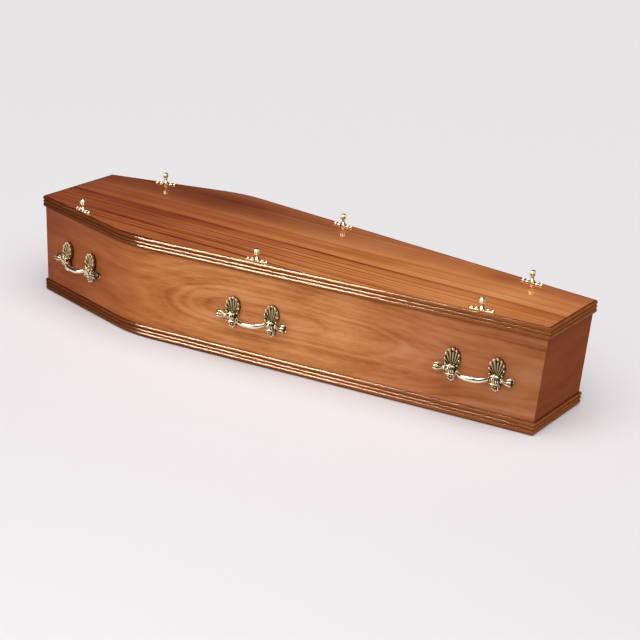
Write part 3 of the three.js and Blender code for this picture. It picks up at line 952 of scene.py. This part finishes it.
def cast_collar(shape, recess):
    """The barrel round the bar, with turned grooves, and a curved ridge above and below."""
    half = COLLAR_LENGTH / 2
    profile = [(-half, COLLAR_BORE)]
    for step in range(COLLAR_STEPS + 1):
        share = step / COLLAR_STEPS
        swell = COLLAR_END_RADIUS + (COLLAR_RADIUS - COLLAR_END_RADIUS) * math.sin(math.pi * share)
        groove = groove_at(2 * share - 1, COLLAR_RINGS, *COLLAR_GROOVE_EDGES)
        groove *= 0 < step < COLLAR_STEPS
        profile.append((COLLAR_LENGTH * share - half, swell - COLLAR_GROOVE_DEPTH * groove))
    profile.append((half, COLLAR_BORE))
    profile.append((-half, COLLAR_BORE))
    barrel = spun_profile(shape, profile, 36)
    bmesh.ops.remove_doubles(shape, verts=barrel, dist=0.01)
    barrel = [v for v in barrel if v.is_valid]
    for vert in barrel:
        share = (vert.co.x + half) / COLLAR_LENGTH
        # Tarnish and painted shade darken the turned grooves of the collar.
        vert[recess] = groove_at(2 * share - 1, COLLAR_RINGS, *COLLAR_GROOVE_EDGES)
    bmesh.ops.translate(shape, vec=(0, WALL_TO_BAR, 0), verts=barrel)
    for height in RIDGE_HEIGHTS:
        cast_ball(shape, recess, (0, WALL_TO_BAR + 8, height), RIDGE_RADII)
    cast_ball(shape, recess, (0, WALL_TO_BAR + 9, 15.5), (5.0, 4.5, 4.0))


def shell_bracket():
    """One whole bracket in its own frame, whose points carry how deep in a recess they lie."""
    shape = bmesh.new()
    recess = shape.verts.layers.float.new(RECESS_SHADE_AND_TARNISH)
    reach = SHELL_REACH + FAN_OVERLAP
    leaf_reach = LEAF_REACH + FAN_OVERLAP

    def shell_rim(across):
        narrowing = math.cos(across * SHELL_HALF_ANGLE) ** SHELL_NARROWING
        return reach * narrowing * (0.94 + 0.06 * scallop_at(across, SHELL_RIBS))

    def shell_depth(share, across):
        stem = (WALL_TO_BAR - SHELL_FLOOR) * (1 - share) ** 2.2
        sides = SHELL_SIDE_LIFT * across ** 2 * share ** 1.3
        return SHELL_FLOOR + stem + SHELL_RIM_LIFT * share ** 3 + sides

    def leaf_rim(across):
        narrowing = 1 - LEAF_TAPER * across ** 2
        return leaf_reach * narrowing * (0.88 + 0.12 * scallop_at(across, LEAF_RIBS))

    def leaf_depth(share, across):
        return LEAF_DEPTH + (1 - share) * (WALL_TO_BAR - LEAF_DEPTH)

    cast_fan(shape, recess, SHELL_RIBS, SHELL_HALF_ANGLE, shell_rim, shell_depth, 1)
    cast_fan(shape, recess, LEAF_RIBS, LEAF_HALF_ANGLE, leaf_rim, leaf_depth, -1)
    for rib in range(SHELL_RIBS):
        across = (2 * rib + 1) / SHELL_RIBS - 1
        angle, radius = across * SHELL_HALF_ANGLE, shell_rim(across) * 0.955
        height = radius * math.cos(angle) - FAN_OVERLAP
        place = (radius * math.sin(angle), shell_depth(0.95, across) + 1.6, height)
        cast_ball(shape, recess, place, (RIM_BEAD, SMALL_BEAD, RIM_BEAD))
    # Painted shade: the screw hole near the top of the shell is a small ball painted dark.
    nail = (0, shell_depth(0.86, 0) + 2.2, 0.84 * reach - FAN_OVERLAP)
    cast_ball(shape, recess, nail, (SMALL_BEAD, 1.6, SMALL_BEAD), 1.0)
    # Painted shade: the palmette's middle is a flat ball painted dark, under a small bright bead.
    height = FAN_OVERLAP - 0.68 * leaf_reach
    face = leaf_depth(0.7, 0)
    cast_ball(shape, recess, (0, face + 1.0, height), (6.5, 2.5, 6.5), 0.9)
    cast_ball(shape, recess, (0, face + 3.0, height), [SMALL_BEAD] * 3)
    for bead in range(ROSETTE_BEADS):
        turn = 2 * math.pi * bead / ROSETTE_BEADS
        off_x, off_z = ROSETTE_RADIUS * math.sin(turn), ROSETTE_RADIUS * math.cos(turn)
        bead_place = (off_x, face + 1.6, height + off_z)
        cast_ball(shape, recess, bead_place, (SMALL_BEAD, 3.0, SMALL_BEAD))
    cast_collar(shape, recess)
    bmesh.ops.recalc_face_normals(shape, faces=shape.faces)
    return shape


for where, side in PLACES:
    along, out, wall = side_frame(where, side)
    for end, direction in (("a", -1), ("b", 1)):
        bracket = shell_bracket()
        bracket.transform(placed(along, out, wall + along * direction * BRACKET_SPACING / 2))
        bmesh.ops.recalc_face_normals(bracket, faces=bracket.faces)
        name = f"handle_bracket_{where}_{end}"
        finished(bracket, f"cast_{name}", BRASS, name, sharp=60)
print(2 * len(PLACES), "shell brackets")

# %% [markdown]
# ## Handle bars
# A bar is a round rod, bowed out between its brackets, with a fluted trumpet on each end that
# opens into a shallow cup. It is spun straight from a profile, its ends are fluted by moving points
# in and out, and then the whole is bent to the bow. A curve with a round section would bow as well,
# but its ends couldn't be fluted.

# %% Handle bars
BAR_RADIUS = 5.5
BAR_MIDDLE_RADIUS = 8.5
BAR_BOW = 22
BAR_DROP = 7
BOW_POWER = 3
BOW_END = (BRACKET_SPACING - COLLAR_LENGTH) / 2 - 2.5
BOW_STEPS = 20
COLLAR_OUTER_END = (BRACKET_SPACING + COLLAR_LENGTH) / 2
BAR_BEAD = 2.6
BAR_BEAD_STEPS = 8
BAR_TIP = COLLAR_OUTER_END + 38
TRUMPET_START = COLLAR_OUTER_END + 7
TRUMPET_RADIUS = 14
TRUMPET_STEPS = 16
TRUMPET_WIDEST = 0.72
TRUMPET_FLUTES = 8
FLUTE_DEPTH = 0.26
PETAL_NICK = 3.0
CUP_DEPTH = 7
CUP_RADIUS = 4
CUP_STEPS = 6


def bow_at(along_bar):
    """How far the bar has bowed: 0 at the collars and 1 in the middle."""
    return max(0.0, 1 - abs(along_bar / BOW_END) ** BOW_POWER)


def bar_profile():
    """Half of the bar as (place along it, radius), from its middle to the bottom of the cup."""
    profile = []
    for step in range(BOW_STEPS + 1):
        x = BOW_END * step / BOW_STEPS
        profile.append((x, BAR_RADIUS + (BAR_MIDDLE_RADIUS - BAR_RADIUS) * bow_at(x)))
    profile.append((COLLAR_OUTER_END + 0.5, BAR_RADIUS))
    for step in range(BAR_BEAD_STEPS + 1):
        angle = math.pi * step / BAR_BEAD_STEPS
        x = COLLAR_OUTER_END + 3.5 - BAR_BEAD * math.cos(angle)
        profile.append((x, BAR_RADIUS + BAR_BEAD * math.sin(angle)))
    for step in range(1, TRUMPET_STEPS + 1):
        share = step / TRUMPET_STEPS
        x = TRUMPET_START + (BAR_TIP - TRUMPET_START) * share
        opened = math.sin(math.pi / 2 * min(1, share / TRUMPET_WIDEST)) ** 1.4
        closed = 1.5 * max(0.0, (share - TRUMPET_WIDEST) / (1 - TRUMPET_WIDEST)) ** 2
        profile.append((x, BAR_RADIUS + (TRUMPET_RADIUS - BAR_RADIUS) * opened - closed))
    for step in range(1, CUP_STEPS + 1):
        angle = math.pi / 2 * step / CUP_STEPS
        radius = CUP_RADIUS + (TRUMPET_RADIUS - 2 - CUP_RADIUS) * math.cos(angle)
        profile.append((BAR_TIP - CUP_DEPTH * math.sin(angle), radius))
    return profile + [(BAR_TIP - CUP_DEPTH, 0)]


def bowed(along_bar, off_y, off_z):
    """A point of the straight bar, moved onto the bow, square to the bar there."""
    def centre(u):
        return Vector((u, WALL_TO_BAR + BAR_BOW * bow_at(u), -BAR_DROP * bow_at(u)))
    tangent = (centre(along_bar + 1) - centre(along_bar - 1)).normalized()
    out = (Vector((0, 1, 0)) - tangent * tangent.y).normalized()
    up = tangent.cross(out)
    return centre(along_bar) + out * off_y + up * off_z


def handle_bar():
    """One bar in its own frame: spun straight, fluted at its ends, and then bent."""
    shape = bmesh.new()
    recess = shape.verts.layers.float.new(RECESS_SHADE_AND_TARNISH)
    half = bar_profile()
    spun_profile(shape, [(-x, radius) for x, radius in reversed(half[1:])] + half, 48)
    bmesh.ops.remove_doubles(shape, verts=shape.verts, dist=0.01)
    for vert in shape.verts:
        share = (abs(vert.co.x) - TRUMPET_START) / (BAR_TIP - TRUMPET_START)
        turn = math.atan2(vert.co.z, vert.co.y)
        petal = abs(math.sin(turn * TRUMPET_FLUTES / 2)) if share > 0 else 1.0
        nick = (1 - petal) ** 1.4
        depth = nick * FLUTE_DEPTH * clamped(share * 3)
        cup = share > 0.8 and math.hypot(vert.co.y, vert.co.z) < TRUMPET_RADIUS - 3
        # Painted shade darkens the cup; tarnish and painted shade darken the nicks between the petals.
        vert[recess] = 0.9 if cup else min(1, nick * 1.5 * clamped(share * 4))
        back = 0.0 if cup else PETAL_NICK * nick * max(0.0, share - 0.6) / 0.4
        x = vert.co.x - math.copysign(back, vert.co.x)
        vert.co = bowed(x, vert.co.y * (1 - depth), vert.co.z * (1 - depth))
    bmesh.ops.recalc_face_normals(shape, faces=shape.faces)
    return shape


for where, side in PLACES:
    bar = handle_bar()
    bar.transform(placed(*side_frame(where, side)))
    bmesh.ops.recalc_face_normals(bar, faces=bar.faces)
    name = f"handle_bar_{where}"
    finished(bar, f"bowed_{name}", BRASS, name, sharp=60)
print(len(PLACES), "bowed bars")

# %% [markdown]
# ## Scroll plates and thumbscrews
# Each lid fitting is a plate of open scrolls either side of a boss, and an upright thumbscrew with a
# flared skirt, a slim neck and a rounded knob. Scrolls are round wire bent into rings, and
# a ring is a small circle spun round an upright axis.

# %% Lid fittings
FITTING_INSET = 19
PLATE_THICKNESS = 4
BOSS_RADIUS = 11
SCROLL_WALL = 3.4
SCROLLS = ((18, 9.5), (33, 8))
SCREW_FOOT = PLATE_THICKNESS + 0.6
SCREW_HEIGHT = 36
KNOB_RADIUS = 9.5
KNOB_LOBES = 6


def wire_ring(shape, recess, x, outer):
    """A ring of flattened wire lying on the lid."""
    radius = outer - SCROLL_WALL / 2
    wire = bmesh.ops.create_circle(shape, segments=10, radius=1)["verts"]
    bmesh.ops.scale(shape, vec=(SCROLL_WALL / 2, PLATE_THICKNESS / 2, 1), verts=wire)
    bmesh.ops.rotate(shape, cent=(0, 0, 0), matrix=Matrix.Rotation(math.pi / 2, 3, "X"), verts=wire)
    bmesh.ops.translate(shape, vec=(x + radius, 0, WALL_GAP + PLATE_THICKNESS / 2), verts=wire)
    edges = list({edge for vert in wire for edge in vert.link_edges})
    bmesh.ops.spin(
        shape, geom=[*wire, *edges], cent=(x, 0, 0), axis=(0, 0, 1), angle=2 * math.pi, steps=28,
        use_merge=True, use_duplicate=False,
    )


def scroll_plate():
    shape = bmesh.new()
    recess = shape.verts.layers.float.new(RECESS_SHADE_AND_TARNISH)
    for place, outer in SCROLLS:
        for hand in (-1, 1):
            wire_ring(shape, recess, hand * place, outer)
            cast_ball(shape, recess, (hand * place, 0, 2.2), (2.0, 2.0, 2.0))
    cast_ball(shape, recess, (0, 0, 2.3), (BOSS_RADIUS, BOSS_RADIUS, 2.0))
    for hand in (-1, 1):
        for wing in (-1, 1):
            cast_ball(shape, recess, (hand * 26, wing * 5.5, 2.3), (2.4, 2.4, 2.0))
            cast_ball(shape, recess, (hand * 9, wing * 7.5, 2.3), (2.4, 2.4, 2.0))
    bmesh.ops.recalc_face_normals(shape, faces=shape.faces)
    return shape


def thumbscrew():
    """Spun from its profile of (height, radius), then stood upright."""
    shape = bmesh.new()
    recess = shape.verts.layers.float.new(RECESS_SHADE_AND_TARNISH)
    profile = [(0, 0), (0, 9.0), (1.5, 9.0), (2.2, 7.6), (4, 6.6), (6, 5.6), (8, 4.2), (9, 5.6), (10, 5.8)]
    profile += [(11, 4.4), (12.5, 3.4), (14.5, 3.4), (15.5, 5.0), (17, 7.4), (19, 8.9), (21.5, KNOB_RADIUS)]
    profile += [(27, KNOB_RADIUS), (30, 9.1), (32.5, 8.0), (34.5, 5.8), (35.6, 3.0), (SCREW_HEIGHT, 0)]
    spun_profile(shape, profile, 48)
    bmesh.ops.remove_doubles(shape, verts=shape.verts, dist=0.01)
    for vert in shape.verts:
        on_knob = min(1.0, max(0.0, (vert.co.x - 15) / 5)) * min(1.0, max(0.0, (SCREW_HEIGHT - vert.co.x) / 3))
        nick = groove_at(math.atan2(vert.co.z, vert.co.y) / math.pi, KNOB_LOBES) * on_knob
        vert.co.y *= 1 - 0.16 * nick
        vert.co.z *= 1 - 0.16 * nick
        # Painted shade darkens the slim neck under the knob; tarnish and painted shade darken the nicks
        # between its lobes.
        vert[recess] = 0.6 if 10.5 < vert.co.x < 15 else 0.3 * nick
    bmesh.ops.rotate(shape, cent=(0, 0, 0), matrix=Matrix.Rotation(-math.pi / 2, 3, "Y"), verts=shape.verts)
    bmesh.ops.translate(shape, vec=(0, 0, SCREW_FOOT), verts=shape.verts)
    bmesh.ops.recalc_face_normals(shape, faces=shape.faces)
    return shape


for side_name, side in SIDE_NAMES.items():
    for station in STATIONS:
        where = f"{side_name}_{station}"
        along, out, middle = side_frame(where, side)
        spot = middle_of(f"lid_screw_{where}")
        spot.z = COFFIN_HEIGHT
        for kind, casting in (("lid_plate", scroll_plate()), ("lid_screw", thumbscrew())):
            casting.transform(placed(along, out, spot))
            bmesh.ops.recalc_face_normals(casting, faces=casting.faces)
            name = f"{kind}_{where}"
            finished(casting, f"cast_{name}", BRASS, name, sharp=50)
print("six lid fittings")

# %% [markdown]
# ## The floor and the light
# The coffin stands on a plain pale floor that runs back far enough to fill the view. A wide
# glow hangs overhead and a soft fill stands in front. The other four are seen only as shine: one
# long light at the front left for the reeds alone, two for the metal and the lacquer, and a broad
# one for the lid fittings alone.

# %% Floor
floor_mesh = bpy.data.meshes.new("floor")
floor_shape = bmesh.new()
bmesh.ops.create_grid(floor_shape, x_segments=1, y_segments=1, size=40)
floor_shape.to_mesh(floor_mesh)
floor_shape.free()
floor = bpy.data.objects.new("floor", floor_mesh)
bpy.context.collection.objects.link(floor)
floor_paint, floor_shader = new_material("matt pale floor paint")
floor_shader.inputs["Base Color"].default_value = colour("#dedbdd")
floor_shader.inputs["Roughness"].default_value = 0.9
floor_shader.inputs["Specular IOR Level"].default_value = 0.1
floor_mesh.materials.append(floor_paint)
print("floor", floor.name)

# %% Lights


def soft_light(name, place, aim, width, height, watts, tint="#ffffff"):
    """A rectangular light at one place, facing another."""
    data = bpy.data.lights.new(name, "AREA")
    data.shape = "RECTANGLE"
    data.size, data.size_y = width, height
    data.energy = watts
    data.color = colour(tint)[:3]
    light = bpy.data.objects.new(name, data)
    turn = (Vector(aim) - Vector(place)).to_track_quat("-Z", "Y")
    light.matrix_world = Matrix.Translation(place) @ turn.to_matrix().to_4x4()
    bpy.context.collection.objects.link(light)
    return light


sun_data = bpy.data.lights.new("wide overhead glow", "SUN")
sun_data.energy = 3.57
sun_data.angle = math.radians(90)
sun = bpy.data.objects.new("wide overhead glow", sun_data)
sun.rotation_euler = (math.radians(17), math.radians(12), 0)
sun.visible_glossy = False
bpy.context.collection.objects.link(sun)


def lit_group(name, word):
    """Gathers the pieces whose names hold a word, so that a light can fall on them alone."""
    group = bpy.data.collections.new(name)
    for piece in [o for o in bpy.data.objects if o.type == "MESH" and word in o.name and not o.hide_render]:
        group.objects.link(piece)
    bpy.context.scene.collection.children.link(group)
    return group


mouldings = lit_group("mouldings", "reeded_")
lid_fittings = lit_group("lid fittings", "cast_lid")

fill = soft_light("front fill", (0.9, -3.4, 1.3), (0.3, -0.2, 0.15), 2.0, 1.6, 15)
fill.visible_glossy = False
streak = soft_light("reed light", (-1.5, -2.6, 1.9), (-0.55, -0.25, 0.3), 2.0, 5.2, 9500, "#ffe4c4")
streak.visible_diffuse = False
streak.light_linking.receiver_collection = mouldings
shine = soft_light("metal shine", (-1.0, -2.7, 1.9), (-0.1, -0.25, 0.3), 1.3, 3.2, 75, "#fff4e6")
shine.visible_diffuse = False
glint = soft_light("overhead glint", (0.3, -0.6, 3.2), (0.3, -0.1, 0.3), 1.8, 1.2, 45)
glint.visible_diffuse = False
sparkle = soft_light("fittings shine", (0.9, -2.0, 1.6), (0.0, -0.1, 0.37), 5.0, 4.0, 170, "#fff0dc")
sparkle.visible_camera = False
sparkle.visible_diffuse = False
sparkle.light_linking.receiver_collection = lid_fittings
world = bpy.data.worlds.new("room")
world.use_nodes = True
world.node_tree.nodes["Background"].inputs["Color"].default_value = colour("#d2cfcc")
world.node_tree.nodes["Background"].inputs["Strength"].default_value = 0.08
bpy.context.scene.world = world
bpy.context.scene.view_settings.view_transform = "Standard"
print("a wide glow and five soft lights")
